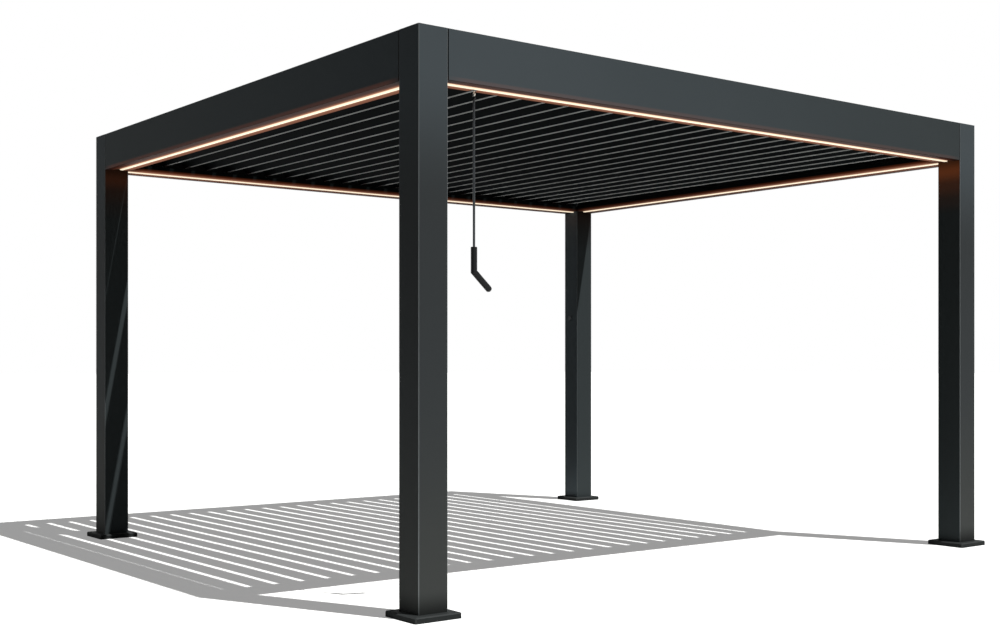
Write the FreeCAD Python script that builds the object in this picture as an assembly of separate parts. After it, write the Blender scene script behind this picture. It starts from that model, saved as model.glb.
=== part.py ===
import FreeCAD, Part
import math
import os

# Louvered pergola of powder-coated aluminium, in millimetres.
# The origin is on the ground under the middle of the roof. +X runs along the long side, +Y runs
# from the front to the rear and +Z is up. The front is the long side that carries the crank.

# Overall sizes, measured over the outer faces of the posts
WIDTH = 4000.0
DEPTH = 3600.0
HEIGHT = 2500.0

# Posts, their caps and their feet
POST_SIZE = 150.0
POST_WALL = 3.0
POST_CORNER_RADIUS = 4.0
CAP_THICKNESS = 3.0
CAP_SPIGOT_DEPTH = 20.0
CAP_SPIGOT_WALL = 3.0
FOOT_SIZE = 236.0
FOOT_THICKNESS = 26.0
FOOT_CHAMFER = 5.0
FOOT_HOLE_RADIUS = 6.0
FOOT_HOLE_INSET = 21.5
FOOT_SPIGOT_HEIGHT = 120.0
FOOT_SPIGOT_WALL = 5.0

# Beams: a hollow box on the outside
BEAM_HEIGHT = 220.0
BEAM_BOX_WIDTH = 50.0
BEAM_WALL = 2.5
BEAM_CORNER_CHAMFER = 1.5

# Gutters: a channel along the inside of each beam, flush with the inner faces of the posts
GUTTER_RISE = 9.0
GUTTER_WALL = 3.0
GUTTER_LIP_HEIGHT = 37.0

# Light strips, set into a slot in the underside of the gutters, from which the lens stands proud
LIGHT_WIDTH = 24.0
LIGHT_THICKNESS = 4.0
LIGHT_DROP = 7.0
LIGHT_EDGE_RADIUS = 5.0
LIGHT_INSET = 97.0
LIGHT_SLOT_WALL = 2.0
LIGHT_SIDE_GAP = 25.0

# Louvres, which run from the front to the rear and turn on pins. As many are set side by side as the
# space between the posts takes.
LOUVRE_PITCH = 147.0
LOUVRE_OVERLAP = 8.0
LOUVRE_THICKNESS = 28.0
LOUVRE_SKIN = 1.8
LOUVRE_LIP_REACH = 20.0
LOUVRE_LIP_HEIGHT = 5.0
LOUVRE_CHAMBER_COUNT = 2
LOUVRE_REST_ANGLE = 45.0
LOUVRE_AXIS_DEPTH = 90.0
LOUVRE_SIDE_CLEARANCE = 5.0
LOUVRE_CAP_THICKNESS = 3.0
LOUVRE_END_CLEARANCE = 5.0
PIN_RADIUS = 5.0
PIN_SIDE_COUNT = 8
PIN_RUNNING_CLEARANCE = 0.05
PIN_END_CLEARANCE = 0.5

# Rails that carry the pins, each with a web that holds a hood plate over the ends of the louvres, and
# flashings that close the roof over the side gutters
RAIL_THICKNESS = 10.0
RAIL_HEIGHT = 30.0
WEB_THICKNESS = 2.5
HOOD_THICKNESS = 2.5
HOOD_REACH = 90.0
HOOD_SWEEP_CLEARANCE = 5.0
FLASHING_THICKNESS = 2.5
FLASHING_FLANGE_HEIGHT = 25.0
FLASHING_LIP_HEIGHT = 15.0
FLASHING_SWEEP_CLEARANCE = 5.0

# Crank that hangs from an eye under the front beam
CRANK_POST_DISTANCE = 234.0
CRANK_INSET = 131.0
CRANK_BOSS_RADIUS = 12.0
CRANK_BOSS_HEIGHT = 6.0
EYE_SHAFT_RADIUS = 4.0
EYE_DROP_LENGTH = 15.0
EYE_OUTER_RADIUS = 8.0
EYE_HOLE_RADIUS = 4.5
EYE_THICKNESS = 5.0
HOOK_WIRE_RADIUS = 2.0
HOOK_LEG_OFFSET = 7.0
HOOK_TIP_LENGTH = 7.0
HOOK_HEIGHT = 21.0
HOOK_SHOULDER_HEIGHT = 7.0
HOOK_ROOT_LENGTH = 4.0
CRANK_ROD_RADIUS = 5.5
CRANK_ROD_LENGTH = 651.0
GRIP_RADIUS = 14.5
GRIP_LENGTH = 110.0
GRIP_SOCKET_DEPTH = 60.0
GRIP_RIM_CHAMFER = 2.0
HANDLE_LENGTH = 122.0
HANDLE_BEND_ANGLE = 48.0
HANDLE_DOME_LENGTH = 12.0
HANDLE_DOME_STEP_COUNT = 3

# Round cover on the rear right post
COVER_RADIUS = 19.0
COVER_THICKNESS = 6.0
COVER_HEIGHT = 1445.0
COVER_INSET = 85.0

# Room between separate pieces that seat in each other
SEAT = 0.3

# How near a coordinate has to be to count as the same
SAME = 1e-3

# Sizes worked out from the ones above
POST_X = (WIDTH - POST_SIZE) / 2
POST_Y = (DEPTH - POST_SIZE) / 2
LONG_RUN = WIDTH - 2 * POST_SIZE
SHORT_RUN = DEPTH - 2 * POST_SIZE
BEAM_BOTTOM = HEIGHT - BEAM_HEIGHT
GUTTER_BOTTOM = BEAM_BOTTOM + GUTTER_RISE
LOUVRE_AXIS_Z = HEIGHT - LOUVRE_AXIS_DEPTH
LOUVRE_WIDTH = LOUVRE_PITCH + LOUVRE_OVERLAP
LOUVRE_SWEEP = math.hypot(LOUVRE_WIDTH / 2, LOUVRE_THICKNESS / 2)
LOUVRE_COUNT = 1 + int((LONG_RUN - 2 * (LOUVRE_SWEEP + LOUVRE_SIDE_CLEARANCE)) // LOUVRE_PITCH)
RAIL_FACE_Y = DEPTH / 2 - BEAM_BOX_WIDTH - RAIL_THICKNESS

# How far out each side of the roof lies, and how long its beam is
SIDES = {
    "front": (DEPTH / 2, LONG_RUN),
    "rear": (DEPTH / 2, LONG_RUN),
    "left": (WIDTH / 2, SHORT_RUN),
    "right": (WIDTH / 2, SHORT_RUN),
}
SIDE_ANGLES = {"front": 0, "rear": 180, "left": -90, "right": 90}
CORNERS = {
    "front_left": (-POST_X, -POST_Y),
    "front_right": (POST_X, -POST_Y),
    "rear_left": (-POST_X, POST_Y),
    "rear_right": (POST_X, POST_Y),
}

UP = FreeCAD.Vector(0, 0, 1)
ORIGIN = FreeCAD.Vector(0, 0, 0)


def vector(x, y, z):
    return FreeCAD.Vector(x, y, z)


def block(low, high):
    """A box from its lowest corner to its highest corner."""
    size = [b - a for a, b in zip(low, high)]
    return Part.makeBox(size[0], size[1], size[2], vector(*low))


def prism(points, direction):
    """A closed outline of points, drawn out along a direction."""
    outline = Part.makePolygon([vector(*p) for p in points] + [vector(*points[0])])
    return Part.Face(outline).extrude(vector(*direction))


def upright_edges(shape):
    """The straight edges of a shape that run along Z."""
    found = []
    for edge in shape.Edges:
        box = edge.BoundBox
        if box.ZLength > SAME and box.XLength < SAME and box.YLength < SAME:
            found.append(edge)
    return found


def edges_along_x(shape, run):
    """The straight edges of a shape that run its whole length along X."""
    return [e for e in shape.Edges if abs(e.BoundBox.XLength - run) < SAME]


def export(name, *solids):
    """Write one node, made of one or more solids that don't touch."""
    shape = solids[0] if len(solids) == 1 else Part.makeCompound(list(solids))
    shape.exportStep(os.path.join("parts", name + ".step"))
    print(name, len(shape.Solids), round(shape.Volume / 1e6, 3), "litres")


def section_strip(points, run):
    """Draw out a section along X. Its points are (inward from the outer face, height)."""
    return prism([(-run / 2, inward, z) for inward, z in points], (run, 0, 0))


def on_side(shape, side):
    """Move a shape made along X, with its outer face at Y = 0, to one side of the roof."""
    placed = shape.copy()
    placed.translate(vector(0, -SIDES[side][0], 0))
    placed.rotate(ORIGIN, UP, SIDE_ANGLES[side])
    return placed


def rectangle(inward0, inward1, z0, z1):
    return [(inward0, z0), (inward1, z0), (inward1, z1), (inward0, z1)]


# Posts, caps and feet
def post():
    """A square tube from the top of its foot to the underside of its cap."""
    half = POST_SIZE / 2
    bottom = FOOT_THICKNESS
    top = HEIGHT - CAP_THICKNESS
    outside = block((-half, -half, bottom), (half, half, top))
    outside = outside.makeFillet(POST_CORNER_RADIUS, upright_edges(outside))
    inner = half - POST_WALL
    return outside.cut(block((-inner, -inner, bottom), (inner, inner, top)))


def post_cap():
    """A flat plate as wide as the post, with a spigot that seats inside the tube."""
    half = POST_SIZE / 2
    top = HEIGHT
    under = HEIGHT - CAP_THICKNESS
    plate = block((-half, -half, under), (half, half, top))
    plate = plate.makeFillet(POST_CORNER_RADIUS, upright_edges(plate))
    outer = half - POST_WALL - SEAT
    inner = outer - CAP_SPIGOT_WALL
    spigot = block((-outer, -outer, under - CAP_SPIGOT_DEPTH), (outer, outer, under))
    hollow = block((-inner, -inner, under - CAP_SPIGOT_DEPTH), (inner, inner, under))
    return plate.fuse(spigot.cut(hollow)).removeSplitter()


def foot():
    """A square plate with a chamfered rim, four anchor holes and a spigot inside the post."""
    half = FOOT_SIZE / 2
    plate = block((-half, -half, 0), (half, half, FOOT_THICKNESS))
    rim = [e for e in plate.Edges if e.BoundBox.ZMin > FOOT_THICKNESS - SAME]
    plate = plate.makeChamfer(FOOT_CHAMFER, rim + upright_edges(plate))
    outer = POST_SIZE / 2 - POST_WALL - SEAT
    inner = outer - FOOT_SPIGOT_WALL
    top = FOOT_THICKNESS + FOOT_SPIGOT_HEIGHT
    spigot = block((-outer, -outer, FOOT_THICKNESS), (outer, outer, top))
    hollow = block((-inner, -inner, FOOT_THICKNESS), (inner, inner, top))
    plate = plate.fuse(spigot.cut(hollow)).removeSplitter()
    reach = half - FOOT_HOLE_INSET
    for x in (-reach, reach):
        for y in (-reach, reach):
            hole = Part.makeCylinder(FOOT_HOLE_RADIUS, FOOT_THICKNESS, vector(x, y, 0))
            plate = plate.cut(hole)
    return plate


# Beams, gutters and light strips
def beam(run):
    """The hollow outer box of one beam."""
    outside = section_strip(rectangle(0, BEAM_BOX_WIDTH, BEAM_BOTTOM, HEIGHT), run)
    outside = outside.makeChamfer(BEAM_CORNER_CHAMFER, edges_along_x(outside, run))
    inside = section_strip(
        rectangle(
            BEAM_WALL, BEAM_BOX_WIDTH - BEAM_WALL, BEAM_BOTTOM + BEAM_WALL, HEIGHT - BEAM_WALL
        ),
        run,
    )
    return outside.cut(inside)


def gutter(run):
    """The rain channel inside a beam, with a slot for the light strip in its underside."""
    outer = BEAM_BOX_WIDTH
    inner = POST_SIZE
    floor = GUTTER_BOTTOM + GUTTER_WALL
    top = GUTTER_BOTTOM + GUTTER_LIP_HEIGHT
    slot_half = LIGHT_WIDTH / 2 + SEAT
    slot_top = GUTTER_BOTTOM + LIGHT_THICKNESS + SEAT
    hump_half = slot_half + LIGHT_SLOT_WALL
    hump_top = slot_top + LIGHT_SLOT_WALL
    middle = LIGHT_INSET
    points = [
        (outer, GUTTER_BOTTOM),
        (middle - slot_half, GUTTER_BOTTOM),
        (middle - slot_half, slot_top),
        (middle + slot_half, slot_top),
        (middle + slot_half, GUTTER_BOTTOM),
        (inner, GUTTER_BOTTOM),
        (inner, top),
        (inner - GUTTER_WALL, top),
        (inner - GUTTER_WALL, floor),
        (middle + hump_half, floor),
        (middle + hump_half, hump_top),
        (middle - hump_half, hump_top),
        (middle - hump_half, floor),
        (outer + GUTTER_WALL, floor),
        (outer + GUTTER_WALL, top),
        (outer, top),
    ]
    return section_strip(points, run)


def light_strip(run):
    """The lens of one light strip, seated in its slot and rounded where it stands proud of the gutter."""
    half = LIGHT_WIDTH / 2
    top = GUTTER_BOTTOM + LIGHT_THICKNESS
    low = GUTTER_BOTTOM - LIGHT_DROP
    middle = LIGHT_INSET
    lens = section_strip(rectangle(middle - half, middle + half, low, top), run)
    low_edges = [e for e in edges_along_x(lens, run) if e.BoundBox.ZMax < low + SAME]
    return lens.makeFillet(LIGHT_EDGE_RADIUS, low_edges)


# Louvres. A section is drawn closed, about its own axis: u along X and w up.
def louvre_outline():
    """A hollow body with a drain lip low on one edge and a cover lip high on the other."""
    tip = LOUVRE_WIDTH / 2
    body = tip - LOUVRE_LIP_REACH
    half = LOUVRE_THICKNESS / 2
    skin = LOUVRE_SKIN
    lip = LOUVRE_LIP_HEIGHT
    one_end = [
        (-body, -half),
        (tip, -half),
        (tip, -half + lip),
        (tip - skin, -half + lip),
        (tip - skin, -half + skin),
        (body, -half + skin),
    ]
    return one_end + [(-u, -w) for u, w in one_end]


def cap_outline():
    """The body without its lips, as the end caps cover it."""
    body = LOUVRE_WIDTH / 2 - LOUVRE_LIP_REACH
    half = LOUVRE_THICKNESS / 2
    return [(-body, -half), (body, -half), (body, half), (-body, half)]


def louvre_chambers():
    """The hollows of the body, side by side between webs."""
    wide = LOUVRE_WIDTH - 2 * LOUVRE_LIP_REACH - LOUVRE_SKIN
    step = wide / LOUVRE_CHAMBER_COUNT
    half = LOUVRE_THICKNESS / 2 - LOUVRE_SKIN
    hollows = []
    for k in range(LOUVRE_CHAMBER_COUNT):
        start = -wide / 2 + k * step + LOUVRE_SKIN / 2
        end = start + step - LOUVRE_SKIN
        hollows.append([(start, -half), (end, -half), (end, half), (start, half)])
    return hollows


def along_y(points, start, end):
    """Draw out a louvre section from one Y to another."""
    return prism([(u, start, w) for u, w in points], (0, end - start, 0))


def facetted_pin(x, z, radius, start, end):
    """A many-sided pin along Y. Its corners lie on a circle of the given radius."""
    corners = []
    for k in range(PIN_SIDE_COUNT):
        turn = 2 * math.pi * k / PIN_SIDE_COUNT
        corners.append((x + radius * math.cos(turn), start, z + radius * math.sin(turn)))
    return prism(corners, (0, end - start, 0))


def louvre():
    """One blade with its two end caps and pins, closed, with its axis on the Y axis."""
    cap_face = RAIL_FACE_Y - LOUVRE_END_CLEARANCE
    blade_end = cap_face - LOUVRE_CAP_THICKNESS - SEAT
    blade = along_y(louvre_outline(), -blade_end, blade_end)
    for hollow in louvre_chambers():
        blade = blade.cut(along_y(hollow, -blade_end, blade_end))
    pieces = [blade]
    pin_end = RAIL_FACE_Y + RAIL_THICKNESS - PIN_END_CLEARANCE
    for way in (-1, 1):
        cap = along_y(cap_outline(), way * (cap_face - LOUVRE_CAP_THICKNESS), way * cap_face)
        pin = facetted_pin(0, 0, PIN_RADIUS, way * cap_face, way * pin_end)
        pieces.append(cap.fuse(pin).removeSplitter())
    return pieces


def louvre_axis_x(k):
    return (k - (LOUVRE_COUNT - 1) / 2) * LOUVRE_PITCH


# The underside of the hood plates, clear of the sweep of the louvres
HOOD_Z = LOUVRE_AXIS_Z + LOUVRE_SWEEP + HOOD_SWEEP_CLEARANCE


def hood_plate():
    """A flat strip that lies on the web of a pivot rail and covers the ends of the louvres."""
    inward = BEAM_BOX_WIDTH
    section = rectangle(inward, inward + HOOD_REACH, HOOD_Z, HOOD_Z + HOOD_THICKNESS)
    return section_strip(section, LONG_RUN)


def pivot_rail():
    """A bar along the inside of a beam, bored for one pin of each louvre, with a web up to its hood."""
    half = RAIL_HEIGHT / 2
    inward = BEAM_BOX_WIDTH
    points = [
        (inward, LOUVRE_AXIS_Z - half),
        (inward + RAIL_THICKNESS, LOUVRE_AXIS_Z - half),
        (inward + RAIL_THICKNESS, LOUVRE_AXIS_Z + half),
        (inward + WEB_THICKNESS, LOUVRE_AXIS_Z + half),
        (inward + WEB_THICKNESS, HOOD_Z - SEAT),
        (inward, HOOD_Z - SEAT),
    ]
    rail = section_strip(points, LONG_RUN)
    # The flats of a bore stand off the pin's corners by the running clearance, however it turns
    bore = (PIN_RADIUS + PIN_RUNNING_CLEARANCE) / math.cos(math.pi / PIN_SIDE_COUNT)
    bores = [
        facetted_pin(louvre_axis_x(k), LOUVRE_AXIS_Z, bore, inward, inward + RAIL_THICKNESS)
        for k in range(LOUVRE_COUNT)
    ]
    return rail.cut(Part.makeCompound(bores))


def flashing():
    """A folded strip over a side gutter, clear of the sweep of the outermost louvre."""
    edge_x = louvre_axis_x(LOUVRE_COUNT - 1) + LOUVRE_SWEEP + FLASHING_SWEEP_CLEARANCE
    outer = BEAM_BOX_WIDTH
    inner = WIDTH / 2 - edge_x
    t = FLASHING_THICKNESS
    top = LOUVRE_AXIS_Z + LOUVRE_THICKNESS / 2 + t
    points = [
        (outer, top),
        (outer, top - FLASHING_FLANGE_HEIGHT),
        (outer + t, top - FLASHING_FLANGE_HEIGHT),
        (outer + t, top - t),
        (inner - t, top - t),
        (inner - t, top - FLASHING_LIP_HEIGHT),
        (inner, top - FLASHING_LIP_HEIGHT),
        (inner, top),
    ]
    return section_strip(points, SHORT_RUN)


# Crank, made about a vertical axis through the origin
EYE_Z = GUTTER_BOTTOM - CRANK_BOSS_HEIGHT - EYE_DROP_LENGTH
HOOK_Z = EYE_Z - EYE_HOLE_RADIUS + HOOK_WIRE_RADIUS + SEAT
ROD_TOP_Z = HOOK_Z - HOOK_HEIGHT
GRIP_TOP_Z = ROD_TOP_Z - CRANK_ROD_LENGTH
BEND_Z = GRIP_TOP_Z - GRIP_LENGTH


def beyond_mitre(corner, normal, radius):
    """What a mitre at a corner cuts off a bar of this radius: the side that the normal points to."""
    reach = 4 * radius
    offcut = block((-reach, -reach, 0), (reach, reach, reach))
    offcut.Placement = FreeCAD.Placement(corner, FreeCAD.Rotation(UP, normal))
    return offcut


def bent_bar(points, radius):
    """A round bar along straight runs, mitred where it bends by up to a right angle."""
    corners = [vector(*p) for p in points]
    ways = [(b - a).normalize() for a, b in zip(corners, corners[1:])]
    last = len(ways) - 1
    bars = []
    for k, way in enumerate(ways):
        # Each run goes past its corners by more than a mitre takes off again
        start = corners[k] - way * (2 * radius if k > 0 else 0)
        end = corners[k + 1] + way * (2 * radius if k < last else 0)
        bar = Part.makeCylinder(radius, (end - start).Length, start, way)
        if k > 0:
            bar = bar.cut(beyond_mitre(corners[k], -(ways[k - 1] + way), radius))
        if k < last:
            bar = bar.cut(beyond_mitre(corners[k + 1], way + ways[k + 1], radius))
        bars.append(bar)
    return bars[0].fuse(bars[1:])


def crank_boss():
    """The round bearing under the gutter that the eye turns in."""
    low = GUTTER_BOTTOM - CRANK_BOSS_HEIGHT
    boss = Part.makeCylinder(CRANK_BOSS_RADIUS, CRANK_BOSS_HEIGHT, vector(0, 0, low))
    bore = EYE_SHAFT_RADIUS + PIN_RUNNING_CLEARANCE
    return boss.cut(Part.makeCylinder(bore, CRANK_BOSS_HEIGHT, vector(0, 0, low)))


def crank_eye():
    """A flat ring under a short shaft."""
    corner = vector(-EYE_THICKNESS / 2, 0, EYE_Z)
    along_x = vector(1, 0, 0)
    ring = Part.makeCylinder(EYE_OUTER_RADIUS, EYE_THICKNESS, corner, along_x)
    shaft = Part.makeCylinder(EYE_SHAFT_RADIUS, GUTTER_BOTTOM - SEAT - EYE_Z, vector(0, 0, EYE_Z))
    hole_length = 2 * EYE_SHAFT_RADIUS
    hole_start = vector(-EYE_SHAFT_RADIUS, 0, EYE_Z)
    hole = Part.makeCylinder(EYE_HOLE_RADIUS, hole_length, hole_start, along_x)
    return ring.fuse(shaft).cut(hole)


def crank_rod():
    """A steel rod with a hook that passes through the eye."""
    leg = HOOK_LEG_OFFSET
    root = ROD_TOP_Z - HOOK_ROOT_LENGTH
    shoulder = ROD_TOP_Z + HOOK_SHOULDER_HEIGHT
    hook = bent_bar(
        [
            (0, 0, root),
            (0, 0, ROD_TOP_Z),
            (leg, 0, shoulder),
            (leg, 0, HOOK_Z),
            (-leg, 0, HOOK_Z),
            (-leg, 0, HOOK_Z - HOOK_TIP_LENGTH),
        ],
        HOOK_WIRE_RADIUS,
    )
    low = GRIP_TOP_Z - GRIP_SOCKET_DEPTH + SEAT
    rod = Part.makeCylinder(CRANK_ROD_RADIUS, root - low, vector(0, 0, low))
    cone = Part.makeCone(
        CRANK_ROD_RADIUS, HOOK_WIRE_RADIUS, HOOK_ROOT_LENGTH, vector(0, 0, root)
    )
    return rod.fuse(cone).fuse(hook).removeSplitter()


def stepped_dome(base, lean):
    """The end of the handle: a half oval of a few cones, which leans away from straight down."""
    rim = [vector(0, 0, 0)]
    for k in range(HANDLE_DOME_STEP_COUNT + 1):
        turn = math.pi / 2 * k / HANDLE_DOME_STEP_COUNT
        rim.append(vector(GRIP_RADIUS * math.cos(turn), 0, -HANDLE_DOME_LENGTH * math.sin(turn)))
    outline = Part.makePolygon(rim + [rim[0]])
    dome = Part.Face(outline).revolve(ORIGIN, UP, 360)
    dome.rotate(ORIGIN, vector(0, 1, 0), -math.degrees(lean))
    dome.translate(base)
    return dome


def crank_handle():
    """A plastic grip round the rod, bent into a handle with a domed end."""
    lean = math.radians(HANDLE_BEND_ANGLE)
    straight = HANDLE_LENGTH - HANDLE_DOME_LENGTH
    end = vector(straight * math.sin(lean), 0, BEND_Z - straight * math.cos(lean))
    handle = bent_bar([(0, 0, GRIP_TOP_Z), (0, 0, BEND_Z), tuple(end)], GRIP_RADIUS)
    top = [e for e in handle.Edges if e.BoundBox.ZMin > GRIP_TOP_Z - SAME]
    handle = handle.makeChamfer(GRIP_RIM_CHAMFER, top)
    handle = handle.fuse(stepped_dome(end, lean)).removeSplitter()
    socket_low = GRIP_TOP_Z - GRIP_SOCKET_DEPTH
    socket = Part.makeCylinder(
        CRANK_ROD_RADIUS + SEAT, GRIP_SOCKET_DEPTH, vector(0, 0, socket_low)
    )
    return handle.cut(socket)


def at_crank(shape):
    """Move a crank piece to its place along the front beam."""
    placed = shape.copy()
    x = -WIDTH / 2 + POST_SIZE + CRANK_POST_DISTANCE
    placed.translate(vector(x, -DEPTH / 2 + CRANK_INSET, 0))
    return placed


def round_cover():
    """A round cover plate on the inner face of the rear right post."""
    x = WIDTH / 2 - POST_SIZE
    y = DEPTH / 2 - POST_SIZE + COVER_INSET
    centre = vector(x, y, COVER_HEIGHT)
    return Part.makeCylinder(COVER_RADIUS, COVER_THICKNESS, centre, vector(-1, 0, 0))


def main():
    os.makedirs("parts", exist_ok=True)

    for name, (x, y) in CORNERS.items():
        for piece, label in ((post(), "post"), (post_cap(), "post_cap"), (foot(), "foot")):
            piece.translate(vector(x, y, 0))
            export(name + "_" + label, piece)

    for side, (_, run) in SIDES.items():
        light_run = run if side in ("front", "rear") else run - 2 * LIGHT_SIDE_GAP
        export(side + "_beam", on_side(beam(run), side))
        export(side + "_gutter", on_side(gutter(run), side))
        export(side + "_light_strip", on_side(light_strip(light_run), side))

    for side in ("front", "rear"):
        export(side + "_pivot_rail", on_side(pivot_rail(), side), on_side(hood_plate(), side))
    for side in ("left", "right"):
        export(side + "_flashing", on_side(flashing(), side))

    blade = louvre()
    for k in range(LOUVRE_COUNT):
        pieces = []
        for solid in blade:
            placed = solid.copy()
            placed.rotate(ORIGIN, vector(0, 1, 0), LOUVRE_REST_ANGLE)
            placed.translate(vector(louvre_axis_x(k), 0, LOUVRE_AXIS_Z))
            pieces.append(placed)
        export("louvre_%02d" % (k + 1), *pieces)

    export("crank_boss", at_crank(crank_boss()))
    export("crank_eye", at_crank(crank_eye()))
    export("crank_rod", at_crank(crank_rod()))
    export("crank_handle", at_crank(crank_handle()))
    export("round_cover", round_cover())


main()
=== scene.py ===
# %% [markdown]
# Louvered pergola: the looks.
# The CAD model is the frame: posts, beams, gutters, louvres and crank are already true to size, and they
# stay as they are. This file gives every one of them its finish, adds the thin trim that the CAD model
# leaves out, and sets up the light, the floor and the camera. All sizes are in metres.

# %% Load the frame
import math

import bpy
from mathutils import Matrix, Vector


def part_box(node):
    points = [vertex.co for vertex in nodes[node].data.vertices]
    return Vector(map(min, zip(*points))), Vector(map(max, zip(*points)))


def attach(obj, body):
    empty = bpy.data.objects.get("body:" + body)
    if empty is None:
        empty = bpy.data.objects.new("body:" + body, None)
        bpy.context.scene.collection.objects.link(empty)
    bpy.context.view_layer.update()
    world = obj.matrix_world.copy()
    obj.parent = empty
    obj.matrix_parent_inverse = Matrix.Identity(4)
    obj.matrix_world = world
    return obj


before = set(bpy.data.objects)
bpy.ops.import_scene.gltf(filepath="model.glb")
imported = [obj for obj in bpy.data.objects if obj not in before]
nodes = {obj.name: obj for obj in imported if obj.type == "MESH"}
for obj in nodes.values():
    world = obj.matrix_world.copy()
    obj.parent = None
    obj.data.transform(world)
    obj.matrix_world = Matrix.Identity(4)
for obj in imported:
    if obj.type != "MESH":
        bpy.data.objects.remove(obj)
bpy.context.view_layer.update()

# %% [markdown]
# The camera stands outside the front left corner, a little over a metre up, and looks level
# across the pergola. It was worked out from the feet and the tops of the four posts. A level camera keeps
# the posts upright in the picture, and the vertical shift brings the roof into view without tilting it.

# %% Camera
CAMERA_PLACE = (-5.1829, -6.4978, 1.0719)
CAMERA_YAW = math.radians(-37.55)
FOCAL_PIXELS = 1358.37
PICTURE_WIDTH = 1000
PICTURE_HEIGHT = 643
HORIZON_ROW = 365.03
SENSOR_WIDTH = 36.0

camera_data = bpy.data.cameras.new("camera")
camera_data.sensor_width = SENSOR_WIDTH
camera_data.lens = FOCAL_PIXELS * SENSOR_WIDTH / PICTURE_WIDTH
camera_data.shift_y = (HORIZON_ROW - PICTURE_HEIGHT / 2) / PICTURE_WIDTH
camera_data.clip_end = 500
camera = bpy.data.objects.new("camera", camera_data)
camera.location = CAMERA_PLACE
camera.rotation_euler = (math.pi / 2, 0, CAMERA_YAW)
bpy.context.scene.collection.objects.link(camera)
bpy.context.scene.camera = camera
bpy.context.scene.view_settings.view_transform = "Standard"
print("lens", round(camera_data.lens, 2), "mm, shift", round(camera_data.shift_y, 4))

# %% [markdown]
# Four small helpers serve every finish below. Screens store colours with a curve, and the renderer wants
# them linear, so each hex value goes through one function. The second adds a node with its settings and
# its links, which keeps a material's recipe readable from top to bottom. The third starts a material. The
# fourth tells what the eye sees from what only carries light.


# %% Helpers for materials
MATH = "ShaderNodeMath"
MIX = "ShaderNodeMix"
RANGE = "ShaderNodeMapRange"
NOISE = "ShaderNodeTexNoise"
SPLIT = "ShaderNodeSeparateXYZ"
JOIN = "ShaderNodeCombineXYZ"


def colour(hex_value):
    """A colour written as #RRGGBB, made linear for the renderer."""
    parts = [int(hex_value[i : i + 2], 16) / 255 for i in (1, 3, 5)]
    linear = [p / 12.92 if p <= 0.04045 else ((p + 0.055) / 1.055) ** 2.4 for p in parts]
    return (*linear, 1.0)


def add_node(tree, kind, settings=None, links=None):
    """Add one node. Settings are its properties or its sockets' values, and links are outputs to plug in.

    On a colour ramp the setting stops is a list of places from 0 to 1, each with its colour.
    """
    node = tree.nodes.new(kind)
    for name, value in (settings or {}).items():
        if name == "stops":
            node.color_ramp.interpolation = "EASE"
            stops = node.color_ramp.elements
            while len(stops) < len(value):
                stops.new(0.5)
            for stop, (place_on_ramp, hex_value) in zip(stops, value):
                stop.position = place_on_ramp
                stop.color = colour(hex_value)
        elif isinstance(name, str) and hasattr(node, name):
            setattr(node, name, value)
        else:
            node.inputs[name].default_value = value
    for name, output in (links or {}).items():
        tree.links.new(output, node.inputs[name])
    return node


def new_material(name):
    """An empty node material with its output, ready for a shader."""
    material = bpy.data.materials.new(name)
    material.use_nodes = True
    tree = material.node_tree
    tree.nodes.clear()
    output = tree.nodes.new("ShaderNodeOutputMaterial")
    return material, tree, output


def seen_by_eye(tree):
    """1 for what the camera sees, directly or by a mirror or glass, and 0 for what only carries light."""
    rays = add_node(tree, "ShaderNodeLightPath")
    seen = rays.outputs["Is Camera Ray"]
    for kind in ("Is Glossy Ray", "Is Transmission Ray"):
        seen = add_node(tree, MATH, {"operation": "MAXIMUM"}, {0: seen, 1: rays.outputs[kind]}).outputs[0]
    return seen


# %% [markdown]
# The air and the light. A photo studio for a dark object is white all round, but the light that falls on
# the object comes mostly from the front and above. The world is therefore plain white to the eye and in
# reflections, and only a moderate fill as light. One soft sun lamp from the front, a little to the right,
# gives the front faces their tone and leaves the left faces dark.

# %% Light
FILL_STRENGTH = 0.064
SUN_STRENGTH = 6.6
SUN_SOFTNESS = math.radians(0.4)
TOWARDS_SUN = Vector((0.47, -1.11, 2.5))

world = bpy.data.worlds.new("studio_air")
bpy.context.scene.world = world
world.use_nodes = True
air = world.node_tree
air.nodes.clear()
fill = add_node(air, "ShaderNodeBackground", {"Color": colour("#F4F7FA"), "Strength": FILL_STRENGTH})
white = add_node(air, "ShaderNodeBackground", {"Color": colour("#FFFFFF"), "Strength": 1.0})
mixed = add_node(
    air, "ShaderNodeMixShader", None, {0: seen_by_eye(air), 1: fill.outputs[0], 2: white.outputs[0]}
)
add_node(air, "ShaderNodeOutputWorld", None, {"Surface": mixed.outputs[0]})

sun_data = bpy.data.lights.new("front_sun", "SUN")
sun_data.energy = SUN_STRENGTH
sun_data.angle = SUN_SOFTNESS
sun = bpy.data.objects.new("front_sun", sun_data)
sun.rotation_mode = "QUATERNION"
sun.rotation_quaternion = TOWARDS_SUN.to_track_quat("Z", "Y")
bpy.context.scene.collection.objects.link(sun)
print("sun elevation", round(math.degrees(math.asin(TOWARDS_SUN.normalized().z)), 1), "degrees")

# %% [markdown]
# The stage is one pale studio floor, plain white to the eye. What it sends back up is set apart from that:
# a bright ring round the posts lights their lower ends, and the middle and the far parts send up little,
# which keeps the underside of the louvres nearly black.

# %% Floor
FLOOR_HALF = 150.0
RING_INSIDE = (1.7, 2.4)
RING_OUTSIDE = (3.0, 4.6)
FLOOR_LIFT = 0.3

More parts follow.
